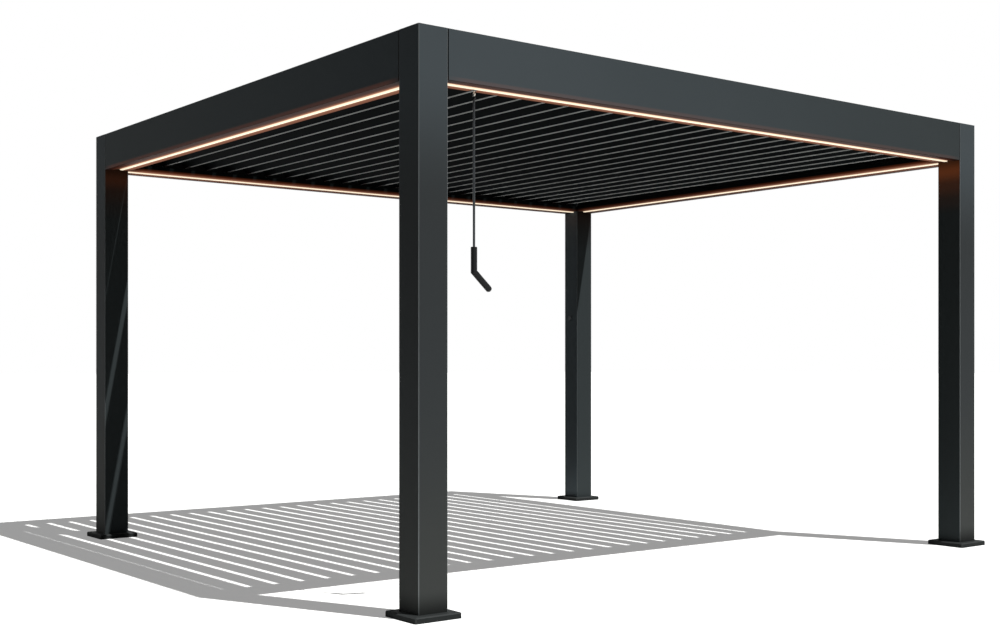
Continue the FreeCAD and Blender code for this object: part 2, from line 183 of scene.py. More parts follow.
floor_mesh = bpy.data.meshes.new("studio_floor")
floor_corners = [(x * FLOOR_HALF, y * FLOOR_HALF, 0) for x, y in ((-1, -1), (1, -1), (1, 1), (-1, 1))]
floor_mesh.from_pydata(floor_corners, [], [(0, 1, 2, 3)])
floor = bpy.data.objects.new("studio_floor", floor_mesh)
bpy.context.scene.collection.objects.link(floor)

floor_paint, tree, output = new_material("pale_studio_floor")
place = add_node(tree, "ShaderNodeTexCoord")
outward = add_node(tree, "ShaderNodeVectorMath", {"operation": "LENGTH"}, {0: place.outputs["Object"]})
rise = add_node(
    tree,
    RANGE,
    {"interpolation_type": "SMOOTHSTEP", "From Min": RING_INSIDE[0], "From Max": RING_INSIDE[1]},
    {"Value": outward.outputs["Value"]},
)
fall = add_node(
    tree,
    RANGE,
    {
        "interpolation_type": "SMOOTHSTEP",
        "From Min": RING_OUTSIDE[0],
        "From Max": RING_OUTSIDE[1],
        "To Min": 1.0,
        "To Max": 0.0,
    },
    {"Value": outward.outputs["Value"]},
)
ring = add_node(tree, MATH, {"operation": "MULTIPLY"}, {0: rise.outputs[0], 1: fall.outputs[0]})
sent_back = add_node(
    tree,
    MIX,
    {"data_type": "RGBA", 6: colour("#222222"), 7: colour("#D2D2D0")},
    {0: ring.outputs[0]},
)
quiet = add_node(tree, "ShaderNodeBsdfDiffuse", None, {"Color": sent_back.outputs[2]})
paint = add_node(tree, "ShaderNodeBsdfDiffuse", {"Color": colour("#C9C9C7")})
lift = add_node(tree, "ShaderNodeEmission", {"Color": colour("#FFFFFF"), "Strength": FLOOR_LIFT})
bright = add_node(tree, "ShaderNodeAddShader", None, {0: paint.outputs[0], 1: lift.outputs[0]})
mixed = add_node(
    tree, "ShaderNodeMixShader", None, {0: seen_by_eye(tree), 1: quiet.outputs[0], 2: bright.outputs[0]}
)
tree.links.new(mixed.outputs[0], output.inputs["Surface"])
floor_mesh.materials.append(floor_paint)
print("floor lights the posts from", RING_INSIDE[1], "to", RING_OUTSIDE[0], "m out")

# %% [markdown]
# Powder coat on extruded aluminium covers nearly everything. The powder is sprayed on dry and baked, and
# it sets with a fine grain that scatters light: the eye sees a deep, matt anthracite with a soft sheen
# and no mirror. The real grain is about 0.4 mm wide, too fine to show from here, so it is drawn at 2 mm.
# A slow change of tone over about a metre keeps long faces from looking like flat plastic. Along an outside
# corner, a fine pale line is a painted highlight where the rounded edge would catch light. Only a rounded
# upright corner has a normal that leans to X and to Y at once, and that is how it is found. A level edge,
# with a normal between up and sideways, gets painted shade and is drawn dark. On the feet its tone is a
# painted highlight instead. The coat is drawn darker and less blue on the lower part of the posts, and
# greyer over their last metre.


# %% Powder coat
COAT_GRAIN = 0.002
ROUGHNESS_SPREAD = 0.14
BLUE_FADES = (2.35, 1.75)
LAST_METRE_SPAN = (1.0, 0.2)
CORNER_HIGHLIGHT_LEAN = (0.05, 0.4)
PAINTED_RIM_LEAN = (0.7, 0.2)


def powder_coat(name, tones, sheen, roughness_low):
    """Baked polyester powder on aluminium: fine grain, slow change of tone, painted highlight on corners,
    painted shade on rims (painted highlight on the feet).
    """
    material, tree, output = new_material(name)
    place = add_node(tree, "ShaderNodeTexCoord")
    spot = add_node(tree, SPLIT, None, {0: place.outputs["Object"]})
    leaning = add_node(tree, SPLIT, None, {0: place.outputs["Normal"]})
    both = add_node(tree, MATH, {"operation": "MULTIPLY"}, {0: leaning.outputs[0], 1: leaning.outputs[1]})
    both = add_node(tree, MATH, {"operation": "ABSOLUTE"}, {0: both.outputs[0]})
    # Painted highlight: a pale line along rounded upright corners, where the normal leans to X and Y at
    # once.
    corner = add_node(
        tree, RANGE, {"From Min": CORNER_HIGHLIGHT_LEAN[0], "From Max": CORNER_HIGHLIGHT_LEAN[1]}, {"Value": both.outputs[0]}
    )
    # Painted shade on level rims: the rim tone is drawn dark on the anthracite, and lighter on the feet as a
    # painted highlight.
    steepness = add_node(tree, MATH, {"operation": "ABSOLUTE"}, {0: leaning.outputs[2]})
    painted_rim = add_node(
        tree, MATH, {"operation": "COMPARE", 1: PAINTED_RIM_LEAN[0], 2: PAINTED_RIM_LEAN[1]}, {0: steepness.outputs[0]}
    )
    # Darker and less blue on the lower part of the posts, and greyer over their last metre.
    low = add_node(
        tree,
        RANGE,
        {"interpolation_type": "SMOOTHSTEP", "From Min": BLUE_FADES[0], "From Max": BLUE_FADES[1]},
        {"Value": spot.outputs[2]},
    )
    last_metre = add_node(
        tree,
        RANGE,
        {"interpolation_type": "SMOOTHSTEP", "From Min": LAST_METRE_SPAN[0], "From Max": LAST_METRE_SPAN[1]},
        {"Value": spot.outputs[2]},
    )
    slow = add_node(
        tree, NOISE, {"Scale": 0.9, "Detail": 3.0, "Roughness": 0.55}, {"Vector": place.outputs["Object"]}
    )
    shade = add_node(
        tree,
        MIX,
        {"data_type": "RGBA", 6: colour(tones["dark"]), 7: colour(tones["light"])},
        {0: slow.outputs[0]},
    )
    for tone, share in (("low", low), ("last_metre", last_metre), ("corner", corner), ("painted_rim", painted_rim)):
        shade = add_node(
            tree,
            MIX,
            {"data_type": "RGBA", 7: colour(tones[tone])},
            {0: share.outputs[0], 6: shade.outputs[2]},
        )
    grain = add_node(
        tree,
        NOISE,
        {"Scale": 1 / COAT_GRAIN, "Detail": 2.0, "Roughness": 0.6},
        {"Vector": place.outputs["Object"]},
    )
    shine = add_node(
        tree,
        RANGE,
        {"To Min": roughness_low, "To Max": roughness_low + ROUGHNESS_SPREAD},
        {"Value": grain.outputs[0]},
    )
    relief = add_node(
        tree,
        "ShaderNodeBump",
        {"Strength": 0.25, "Distance": COAT_GRAIN * 0.08},
        {"Height": grain.outputs[0]},
    )
    coat = add_node(
        tree,
        "ShaderNodeBsdfPrincipled",
        {"IOR": 1.5, "Specular IOR Level": sheen},
        {"Base Color": shade.outputs[2], "Roughness": shine.outputs[0], "Normal": relief.outputs[0]},
    )
    tree.links.new(coat.outputs[0], output.inputs["Surface"])
    return material


# In each coat's tones, the corner tone is a painted highlight. The rim tone is painted shade on the
# anthracite.
anthracite_coat = powder_coat(
    "anthracite_powder_coat",
    {"dark": "#40474A", "light": "#484E51", "low": "#333637",
     "last_metre": "#363837", "corner": "#757A7B", "painted_rim": "#15181A"},
    0.03,
    0.5,
)
# The feet are drawn deeper in tone than the posts, and their lighter corner and rim tones are painted
# highlights.
foot_coat = powder_coat(
    "foot_powder_coat",
    {"dark": "#212323", "light": "#292B2B", "low": "#242626",
     "last_metre": "#242626", "corner": "#383A3A", "painted_rim": "#2F3131"},
    0.02,
    0.55,
)
# The louvres and the inside of the roof are drawn in a much deeper tone: painted shade of the roof.
louvre_coat_painted_shade = powder_coat(
    "louvre_powder_coat_painted_shade",
    {"dark": "#151819", "light": "#1C1F20", "low": "#1C1F20",
     "last_metre": "#1C1F20", "corner": "#1C1F20", "painted_rim": "#191C1D"},
    0.006,
    0.52,
)
inside_coat_painted_shade = powder_coat(
    "inside_powder_coat_painted_shade",
    {"dark": "#101314", "light": "#161919", "low": "#161919",
     "last_metre": "#161919", "corner": "#161919", "painted_rim": "#101314"},
    0.006,
    0.55,
)
print("powder coats", anthracite_coat.name, foot_coat.name, louvre_coat_painted_shade.name, inside_coat_painted_shade.name)

# %% [markdown]
# Beams and gutters glow beside the light strips: light creeps sideways out of the frosted lens and over
# the grain of the coat, copper at the lens and gone a hand's width away. Too little light is traced at
# that grazing angle to show it, so the coat itself gives it off, as painted light. The distance to the
# strip sets how much, and height counts five times, because a face that turns up from the strip's level
# soon leaves its light. The long sides of the frame lie along X and the short ones along Y, so the formula
# first asks on which side a point is. The glow runs out at the ends of a strip and is weaker towards the
# rear right corner. The last few millimetres of a beam are drawn near black as painted shade in the joint
# at the post, and faces that look down get the same painted shade. The beams also get a painted shade
# that deepens their tone a little away from the front left corner.

# %% Coat that glows beside the strips
BEAM_END_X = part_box("front_beam")[1][0]
BEAM_END_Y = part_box("left_beam")[1][1]
STRIP_X = (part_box("right_light_strip")[0][0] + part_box("right_light_strip")[1][0]) / 2
STRIP_Y = (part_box("rear_light_strip")[0][1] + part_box("rear_light_strip")[1][1]) / 2
STRIP_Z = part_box("rear_light_strip")[0][2] + 0.004
ON_THE_LINE = 0.0005
FACES_UP = 0.3
FACES_DOWN = -0.5
GLOW_REACH = 0.125
HEIGHT_COUNTS = 5.0
JOINT_SHADE_WIDTH = 0.005
END_FADE = 0.1
GLOW_AT_END = 0.1
FAR_CORNER = (-0.5, 2.5)
GLOW_AT_FAR_CORNER = 0.4
BEAM_SHADE_RANGE = (-3.5, 0.2)
GLOW_STEPS = [(0.1, "#9A6850"), (0.42, "#784832"), (0.6, "#4A2012"), (0.8, "#341608"), (1.0, "#000000")]


def glow_beside_strips(base, name, glow_underneath):
    """A copy of a coat with the strips' glow as painted light, and painted shade in the joint, underneath
    and away from the front left corner.
    """
    material = base.copy()
    material.name = name
    tree = material.node_tree
    coat = next(node for node in tree.nodes if node.type == "BSDF_PRINCIPLED")
    place = add_node(tree, "ShaderNodeTexCoord")
    spot = add_node(tree, SPLIT, None, {0: place.outputs["Object"]})
    facing = add_node(tree, SPLIT, None, {0: place.outputs["Normal"]})
    along_x = add_node(tree, MATH, {"operation": "ABSOLUTE"}, {0: spot.outputs[0]})
    along_y = add_node(tree, MATH, {"operation": "ABSOLUTE"}, {0: spot.outputs[1]})
    short_side = add_node(
        tree, MATH, {"operation": "GREATER_THAN", 1: BEAM_END_X - ON_THE_LINE}, {0: along_x.outputs[0]}
    )
    from_x_strip = add_node(tree, MATH, {"operation": "SUBTRACT", 1: STRIP_X}, {0: along_x.outputs[0]})
    from_y_strip = add_node(tree, MATH, {"operation": "SUBTRACT", 1: STRIP_Y}, {0: along_y.outputs[0]})
    aside = add_node(
        tree, MIX, None, {0: short_side.outputs[0], 2: from_y_strip.outputs[0], 3: from_x_strip.outputs[0]}
    )
    height = add_node(tree, MATH, {"operation": "SUBTRACT", 1: STRIP_Z}, {0: spot.outputs[2]})
    height = add_node(tree, MATH, {"operation": "MULTIPLY", 1: HEIGHT_COUNTS}, {0: height.outputs[0]})
    across = add_node(tree, JOIN, None, {0: aside.outputs[0], 1: height.outputs[0]})
    gap = add_node(tree, "ShaderNodeVectorMath", {"operation": "LENGTH"}, {0: across.outputs[0]})
    share = add_node(tree, MATH, {"operation": "DIVIDE", 1: GLOW_REACH}, {0: gap.outputs["Value"]})
    upward = add_node(tree, MATH, {"operation": "GREATER_THAN", 1: FACES_UP}, {0: facing.outputs[2]})
    share = add_node(tree, MATH, {"operation": "ADD"}, {0: share.outputs[0], 1: upward.outputs[0]})
    warm = add_node(tree, "ShaderNodeValToRGB", {"stops": GLOW_STEPS}, {0: share.outputs[0]})

    underneath = add_node(tree, MATH, {"operation": "LESS_THAN", 1: FACES_DOWN}, {0: facing.outputs[2]})
    given_off = add_node(
        tree, RANGE, {"To Min": 1.0, "To Max": glow_underneath}, {"Value": underneath.outputs[0]}
    )
    left_x = add_node(tree, MATH, {"operation": "SUBTRACT", 0: BEAM_END_X}, {1: along_x.outputs[0]})
    left_y = add_node(tree, MATH, {"operation": "SUBTRACT", 0: BEAM_END_Y}, {1: along_y.outputs[0]})
    left = add_node(
        tree, MIX, None, {0: short_side.outputs[0], 2: left_x.outputs[0], 3: left_y.outputs[0]}
    )
    near_end = add_node(
        tree,
        RANGE,
        {"From Min": 0.0, "From Max": END_FADE, "To Min": GLOW_AT_END, "To Max": 1.0},
        {"Value": left.outputs[0]},
    )
    away = add_node(tree, MATH, {"operation": "ADD"}, {0: spot.outputs[0], 1: spot.outputs[1]})
    far = add_node(
        tree,
        RANGE,
        {
            "From Min": FAR_CORNER[0],
            "From Max": FAR_CORNER[1],
            "To Min": 1.0,
            "To Max": GLOW_AT_FAR_CORNER,
        },
        {"Value": away.outputs[0]},
    )
    for weakened in (near_end, far):
        given_off = add_node(
            tree, MATH, {"operation": "MULTIPLY"}, {0: given_off.outputs[0], 1: weakened.outputs[0]}
        )
    # The glow is painted light: the coat gives it off itself.
    glow = add_node(
        tree,
        MIX,
        {"data_type": "RGBA", 6: colour("#000000")},
        {0: given_off.outputs[0], 7: warm.outputs[0]},
    )
    tree.links.new(glow.outputs[2], coat.inputs["Emission Color"])
    coat.inputs["Emission Strength"].default_value = 1.0

    # Painted shade: the beams grow a little darker away from the front left corner.
    far_painted_shade = add_node(
        tree, RANGE, {"From Min": BEAM_SHADE_RANGE[0], "From Max": BEAM_SHADE_RANGE[1]}, {"Value": away.outputs[0]}
    )
    painted = add_node(
        tree,
        MIX,
        {"data_type": "RGBA", "blend_type": "MULTIPLY", 7: colour("#CDCCC8")},
        {0: far_painted_shade.outputs[0], 6: coat.inputs["Base Color"].links[0].from_socket},
    )
    # Painted shade: the joint at the post and the faces that look down are drawn near black.
    joint_shade = add_node(tree, MATH, {"operation": "LESS_THAN", 1: JOINT_SHADE_WIDTH}, {0: left.outputs[0]})
    dark = add_node(tree, MATH, {"operation": "MAXIMUM"}, {0: joint_shade.outputs[0], 1: underneath.outputs[0]})
    shade = add_node(
        tree,
        MIX,
        {"data_type": "RGBA", 7: colour("#0A0B0C")},
        {0: dark.outputs[0], 6: painted.outputs[2]},
    )
    tree.links.new(shade.outputs[2], coat.inputs["Base Color"])
    return material


beam_coat = glow_beside_strips(anthracite_coat, "anthracite_powder_coat_by_lights", 0.6)
gutter_coat = glow_beside_strips(inside_coat_painted_shade, "inside_powder_coat_by_lights", 1.0)
print("strips at X", round(STRIP_X, 4), "and Y", round(STRIP_Y, 4))

# %% [markdown]
# The posts' inner faces carry the same warm light at the top, just below the ends of the strips, as
# painted light that the coat gives off. An inner face is one that lies on the line of the beams' ends, and
# the glow fades within a forearm's length. It is weaker on the faces that look along the short sides, and
# nearly gone on the rear right post. The inner faces get a painted shade that keeps them deeper in tone
# than the rest, and deepest under the strips. The rear right post is the exception: its face towards the
# left is drawn lighter, as painted light. Just above the foot every post is a little darker, a painted
# shade where the foot keeps light away.

# %% Coat of the posts
POST_GLOW_REACH = 0.32
POST_STEPS = [(0.0, "#2E1608"), (0.2, "#4C240E"), (0.45, "#2A1306"), (0.75, "#120703"), (1.0, "#000000")]
INNER_FACE_DEPTH = 0.0006
FOOT_SHADE = (0.03, 0.13)
ON_REAR_RIGHT_POST = 2.5

post_coat = anthracite_coat.copy()
post_coat.name = "anthracite_powder_coat_posts"
tree = post_coat.node_tree
coat = next(node for node in tree.nodes if node.type == "BSDF_PRINCIPLED")
place = add_node(tree, "ShaderNodeTexCoord")
spot = add_node(tree, SPLIT, None, {0: place.outputs["Object"]})
facing = add_node(tree, SPLIT, None, {0: place.outputs["Normal"]})
past_ends = []
for axis, beam_end in enumerate((BEAM_END_X, BEAM_END_Y)):
    along = add_node(tree, MATH, {"operation": "ABSOLUTE"}, {0: spot.outputs[axis]})
    past_ends.append(add_node(tree, MATH, {"operation": "SUBTRACT", 1: beam_end}, {0: along.outputs[0]}))
nearest = add_node(
    tree, MATH, {"operation": "MINIMUM"}, {0: past_ends[0].outputs[0], 1: past_ends[1].outputs[0]}
)
inner_face = add_node(
    tree, MATH, {"operation": "LESS_THAN", 1: INNER_FACE_DEPTH}, {0: nearest.outputs[0]}
)
drop = add_node(tree, MATH, {"operation": "SUBTRACT", 0: STRIP_Z}, {1: spot.outputs[2]})
share = add_node(tree, MATH, {"operation": "DIVIDE", 1: POST_GLOW_REACH}, {0: drop.outputs[0]})
above = add_node(tree, MATH, {"operation": "LESS_THAN", 1: -0.001}, {0: drop.outputs[0]})
beyond = add_node(tree, MATH, {"operation": "MULTIPLY", 1: 2.0}, {0: above.outputs[0]})
share = add_node(tree, MATH, {"operation": "ADD"}, {0: share.outputs[0], 1: beyond.outputs[0]})
warm = add_node(tree, "ShaderNodeValToRGB", {"stops": POST_STEPS}, {0: share.outputs[0]})

looks_along = [add_node(tree, MATH, {"operation": "ABSOLUTE"}, {0: facing.outputs[axis]}) for axis in (0, 1)]
by_side = add_node(tree, RANGE, {"To Min": 1.0, "To Max": 0.25}, {"Value": looks_along[1].outputs[0]})
away = add_node(tree, MATH, {"operation": "ADD"}, {0: spot.outputs[0], 1: spot.outputs[1]})
by_post = add_node(
    tree,
    RANGE,
    {"From Min": 2.0, "From Max": 3.0, "To Min": 1.0, "To Max": 0.08},
    {"Value": away.outputs[0]},
)
given_off = inner_face
for weakened in (by_side, by_post):
    given_off = add_node(
        tree, MATH, {"operation": "MULTIPLY"}, {0: given_off.outputs[0], 1: weakened.outputs[0]}
    )
# The warm glow on the inner faces is painted light that the coat gives off.
glow = add_node(
    tree,
    MIX,
    {"data_type": "RGBA", 6: colour("#000000")},
    {0: given_off.outputs[0], 7: warm.outputs[0]},
)
tree.links.new(glow.outputs[2], coat.inputs["Emission Color"])
coat.inputs["Emission Strength"].default_value = 1.0

# Painted shade just above the foot.
near_foot = add_node(
    tree,
    RANGE,
    {
        "interpolation_type": "SMOOTHSTEP",
        "From Min": FOOT_SHADE[0],
        "From Max": FOOT_SHADE[1],
        "To Min": 0.75,
        "To Max": 0.0,
    },
    {"Value": spot.outputs[2]},
)
painted = add_node(
    tree,
    MIX,
    {"data_type": "RGBA", "blend_type": "MULTIPLY", 7: colour("#7A7A7A")},
    {0: near_foot.outputs[0], 6: coat.inputs["Base Color"].links[0].from_socket},
)
# Painted shade: the inner faces are drawn deeper in tone, deepest under the strips.
inner_painted_light_and_shade = add_node(
    tree,
    MIX,
    {"data_type": "RGBA", 6: colour("#110A06"), 7: colour("#303536")},
    {0: share.outputs[0]},
)
# Painted light: the rear right post's face towards the left is drawn lighter.
is_far = add_node(tree, MATH, {"operation": "GREATER_THAN", 1: ON_REAR_RIGHT_POST}, {0: away.outputs[0]})
far_face_painted_light = add_node(
    tree, MATH, {"operation": "MULTIPLY"}, {0: is_far.outputs[0], 1: looks_along[0].outputs[0]}
)
inner_painted_light_and_shade = add_node(
    tree,
    MIX,
    {"data_type": "RGBA", 7: colour("#4E565A")},
    {0: far_face_painted_light.outputs[0], 6: inner_painted_light_and_shade.outputs[2]},
)
shade = add_node(
    tree,
    MIX,
    {"data_type": "RGBA"},
    {0: inner_face.outputs[0], 6: painted.outputs[2], 7: inner_painted_light_and_shade.outputs[2]},
)
tree.links.new(shade.outputs[2], coat.inputs["Base Color"])
print("posts glow", POST_GLOW_REACH, "m down")

# %% [markdown]
# The light strips are frosted polycarbonate lenses over a row of diodes. The camera's exposure is set for
# daylight, at which the lens is just a little brighter than white paper, in a warm cream. Near the gutter
# the housing shades the lens, and there it is copper.

# %% Lit lens
LENS_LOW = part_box("rear_light_strip")[0][2]
LENS_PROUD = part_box("rear_gutter")[0][2] - LENS_LOW
LENS_STEPS = [(0.0, "#FFEFD3"), (0.5, "#FFEACB"), (0.9, "#A87256")]

lit_lens, tree, output = new_material("frosted_polycarbonate_lit")
place = add_node(tree, "ShaderNodeTexCoord")
spot = add_node(tree, SPLIT, None, {0: place.outputs["Object"]})
rise = add_node(tree, MATH, {"operation": "SUBTRACT", 1: LENS_LOW}, {0: spot.outputs[2]})
rise = add_node(tree, MATH, {"operation": "DIVIDE", 1: LENS_PROUD}, {0: rise.outputs[0]})
shine = add_node(tree, "ShaderNodeValToRGB", {"stops": LENS_STEPS}, {0: rise.outputs[0]})
lens = add_node(
    tree,
    "ShaderNodeBsdfPrincipled",
    {"Base Color": colour("#8C8273"), "Roughness": 0.5, "IOR": 1.58, "Emission Strength": 1.0},
    {"Emission Color": shine.outputs[0]},
)
tree.links.new(lens.outputs[0], output.inputs["Surface"])
print("lens stands", round(LENS_PROUD * 1000, 2), "mm proud")

# %% [markdown]
# The crank: zinc-plated steel for the eye, a lacquered steel rod, and a moulded black grip. Zinc has a
# pale, slightly cloudy shine, and drawn rod carries fine lines along its length. Both are metals, so
# their colour is the colour of their reflection.


# %% Crank finishes
def drawn_steel(name, dark_hex, light_hex, roughness_low, roughness_high):
    """Round steel bar with fine lines along its length, then plated or lacquered."""
    material, tree, output = new_material(name)
    place = add_node(tree, "ShaderNodeTexCoord")
    stretched = add_node(
        tree,
        "ShaderNodeMapping",
        {"Scale": (1.0, 1.0, 0.05)},
        {"Vector": place.outputs["Object"]},
    )
    lines = add_node(
        tree,
        NOISE,
        {"Scale": 900.0, "Detail": 2.0},
        {"Vector": stretched.outputs[0]},
    )
    shade = add_node(
        tree,
        MIX,
        {"data_type": "RGBA", 6: colour(dark_hex), 7: colour(light_hex)},
        {0: lines.outputs[0]},
    )
    shine = add_node(
        tree,
        RANGE,
        {"To Min": roughness_low, "To Max": roughness_high},
        {"Value": lines.outputs[0]},
    )
    metal = add_node(
        tree,
        "ShaderNodeBsdfPrincipled",
        {"Metallic": 1.0},
        {"Base Color": shade.outputs[2], "Roughness": shine.outputs[0]},
    )
    tree.links.new(metal.outputs[0], output.inputs["Surface"])
    return material


def moulded_plastic(name, dark_hex, light_hex, grain, gloss, roughness_low, roughness_high):
    """Injection-moulded plastic with a spark-eroded grain from the mould."""
    material, tree, output = new_material(name)
    place = add_node(tree, "ShaderNodeTexCoord")
    cells = add_node(
        tree,
        "ShaderNodeTexVoronoi",
        {"Scale": 1 / grain},
        {"Vector": place.outputs["Object"]},
    )
    shade = add_node(
        tree,
        MIX,
        {"data_type": "RGBA", 6: colour(dark_hex), 7: colour(light_hex)},
        {0: cells.outputs[0]},
    )
    shine = add_node(
        tree,
        RANGE,
        {"To Min": roughness_low, "To Max": roughness_high},
        {"Value": cells.outputs[0]},
    )
    relief = add_node(
        tree,
        "ShaderNodeBump",
        {"Strength": 0.2, "Distance": grain * 0.1},
        {"Height": cells.outputs[0]},
    )
    plastic = add_node(
        tree,
        "ShaderNodeBsdfPrincipled",
        {"IOR": 1.49, "Specular IOR Level": gloss},
        {
            "Base Color": shade.outputs[2],
            "Roughness": shine.outputs[0],
            "Normal": relief.outputs[0],
        },
    )
    tree.links.new(plastic.outputs[0], output.inputs["Surface"])
    return material


zinc_plate = drawn_steel("zinc_plated_steel", "#B9B6AE", "#DAD6CC", 0.28, 0.42)
grey_rod = drawn_steel("grey_lacquered_steel", "#35383A", "#484B4D", 0.22, 0.34)
black_nylon = moulded_plastic("black_moulded_nylon", "#08090A", "#0E1011", 0.0012, 0.2, 0.26, 0.34)
grey_nylon = moulded_plastic("anthracite_moulded_nylon", "#2E3335", "#363C3E", 0.0012, 0.15, 0.4, 0.5)
print("crank finishes", zinc_plate.name, grey_rod.name, black_nylon.name, grey_nylon.name)

# %% [markdown]
# Each CAD node takes its finish from the first word in the list that its name holds. The louvres and all
# that lies inside the beams are coated like the rest, but their much deeper tone is painted shade, as they
# look in the shade of the roof.

# %% Finish the CAD nodes
FINISHES = [
    ("light_strip", lit_lens),
    ("louvre_", louvre_coat_painted_shade),
    ("crank_eye", zinc_plate),
    ("crank_rod", grey_rod),
    ("crank_handle", black_nylon),
    ("crank_boss", black_nylon),
    ("round_cover", grey_nylon),
    ("beam", beam_coat),
    ("gutter", gutter_coat),
    ("rail", inside_coat_painted_shade),
    ("flashing", inside_coat_painted_shade),
    ("foot", foot_coat),
    ("post_cap", anthracite_coat),
    ("post", post_coat),
    ("", anthracite_coat),
]

for name, node in nodes.items():
    finish = next(material for word, material in FINISHES if word in name)
    node.data.materials.clear()
    node.data.materials.append(finish)
print("finished", len(nodes), "nodes")

# %% [markdown]
# What repeats on the pergola is grown by Geometry Nodes: a small recipe of nodes with named sizes, run on
# an empty object and then kept as a plain mesh. Two helpers do that. One starts a tree with its named
# inputs, and the other runs a finished tree once and keeps what it made.


# %% Helpers for Geometry Nodes
def start_tree(name, sizes):
    """A geometry tree with one named number for each size. Returns it with its inputs and its output."""
    tree = bpy.data.node_groups.new(name, "GeometryNodeTree")
    tree.interface.new_socket("Geometry", in_out="OUTPUT", socket_type="NodeSocketGeometry")
    for size in sizes:
        tree.interface.new_socket(size, in_out="INPUT", socket_type="NodeSocketFloat")
    inputs = tree.nodes.new("NodeGroupInput")
    output = tree.nodes.new("NodeGroupOutput")
    return tree, inputs, output


def grow(tree, name, sizes):
    """Run a tree with these sizes and keep the result as one plain mesh."""
    piece = bpy.data.objects.new(name, bpy.data.meshes.new(name + "_seed"))
    bpy.context.scene.collection.objects.link(piece)
    modifier = piece.modifiers.new("grow", "NODES")
    modifier.node_group = tree
    for socket in tree.interface.items_tree:
        if socket.in_out == "INPUT":
            modifier[socket.identifier] = sizes[socket.name]
    ready = piece.evaluated_get(bpy.context.evaluated_depsgraph_get())
    mesh = bpy.data.meshes.new_from_object(ready)
    piece.modifiers.clear()
    piece.data = mesh
    mesh.name = name
    return piece


# %% [markdown]
# Seen from below, a pale line runs along the lower edge of every louvre. It is the rubber seal that the
# next louvre closes on, pressed into a groove along the nose, and its pale grey is a painted highlight for
# the light that the nose catches. A flat painted line would do as much, but a real bead also catches light
# on its own roundness. Each one is an oval swept along the louvre, half of it in the groove. EPDM rubber
# is matt, with a faint dry bloom that varies along its length.

# %% Seal rubber
# The seal's pale grey is a painted highlight for the light that the louvre's nose catches.
seal_rubber_painted_highlight, tree, output = new_material("pale_epdm_rubber_painted_highlight")
place = add_node(tree, "ShaderNodeTexCoord")
bloom = add_node(
    tree,
    NOISE,
    {"Scale": 6.0, "Detail": 4.0},
    {"Vector": place.outputs["Object"]},
)
shade = add_node(
    tree,
    MIX,
    {"data_type": "RGBA", 6: colour("#B8BAB8"), 7: colour("#C6C8C6")},
    {0: bloom.outputs[0]},
)
dryness = add_node(
    tree, RANGE, {"To Min": 0.7, "To Max": 0.85}, {"Value": bloom.outputs[0]}
)
rubber = add_node(
    tree,
    "ShaderNodeBsdfPrincipled",
    {"IOR": 1.52, "Specular IOR Level": 0.2},
    {"Base Color": shade.outputs[2], "Roughness": dryness.outputs[0]},
)
tree.links.new(rubber.outputs[0], output.inputs["Surface"])
print("seal rubber", seal_rubber_painted_highlight.name)

# %% [markdown]
# The tree draws one seal along Y about the louvre's own axis, turns it by the louvre's tilt and carries it
# to that axis. Run with each louvre's numbers, it gives one mesh for each, which then turns with it.

# %% Nose seals
SEAL_SIZES = {
    "Length": 3.46,
    "Width": 0.007,
    "Stand Out": 0.0008,
    "Reach": 0.074,
    "Face": -0.014,
    "Tilt": math.radians(45),
}

tree, sizes, output = start_tree("nose_seal", [*SEAL_SIZES, "Axis X", "Axis Z"])
half_length = add_node(tree, MATH, {"operation": "MULTIPLY", 1: 0.5}, {0: sizes.outputs["Length"]})
far_end = add_node(tree, JOIN, None, {"Y": half_length.outputs[0]})
near_end = add_node(
    tree, "ShaderNodeVectorMath", {"operation": "SCALE", "Scale": -1.0}, {0: far_end.outputs[0]}
)
run = add_node(
    tree,
    "GeometryNodeCurvePrimitiveLine",
    None,
    {"Start": near_end.outputs[0], "End": far_end.outputs[0]},
)
circle = add_node(tree, "GeometryNodeCurvePrimitiveCircle", {"Resolution": 12, "Radius": 1.0})
half_width = add_node(tree, MATH, {"operation": "MULTIPLY", 1: 0.5}, {0: sizes.outputs["Width"]})
oval_size = add_node(
    tree, JOIN, {"Z": 1.0}, {"X": half_width.outputs[0], "Y": sizes.outputs["Stand Out"]}
)
oval = add_node(
    tree,
    "GeometryNodeTransform",
    None,
    {"Geometry": circle.outputs[0], "Scale": oval_size.outputs[0]},
)
bead = add_node(
    tree,
    "GeometryNodeCurveToMesh",
    {"Fill Caps": True},
    {"Curve": run.outputs[0], "Profile Curve": oval.outputs[0]},
)
on_face = add_node(
    tree, JOIN, None, {"X": sizes.outputs["Reach"], "Z": sizes.outputs["Face"]}
)
seated = add_node(
    tree, "GeometryNodeTransform", None, {"Geometry": bead.outputs[0], "Translation": on_face.outputs[0]}
)
tilt = add_node(tree, JOIN, None, {"Y": sizes.outputs["Tilt"]})
axis = add_node(
    tree, JOIN, None, {"X": sizes.outputs["Axis X"], "Z": sizes.outputs["Axis Z"]}
)
placed = add_node(
    tree,
    "GeometryNodeTransform",
    None,
    {"Geometry": seated.outputs[0], "Rotation": tilt.outputs[0], "Translation": axis.outputs[0]},
)
real = add_node(tree, "GeometryNodeRealizeInstances", None, {"Geometry": placed.outputs[0]})
finished = add_node(
    tree, "GeometryNodeSetMaterial", {"Material": seal_rubber_painted_highlight}, {"Geometry": real.outputs[0]}
)
tree.links.new(finished.outputs[0], output.inputs[0])

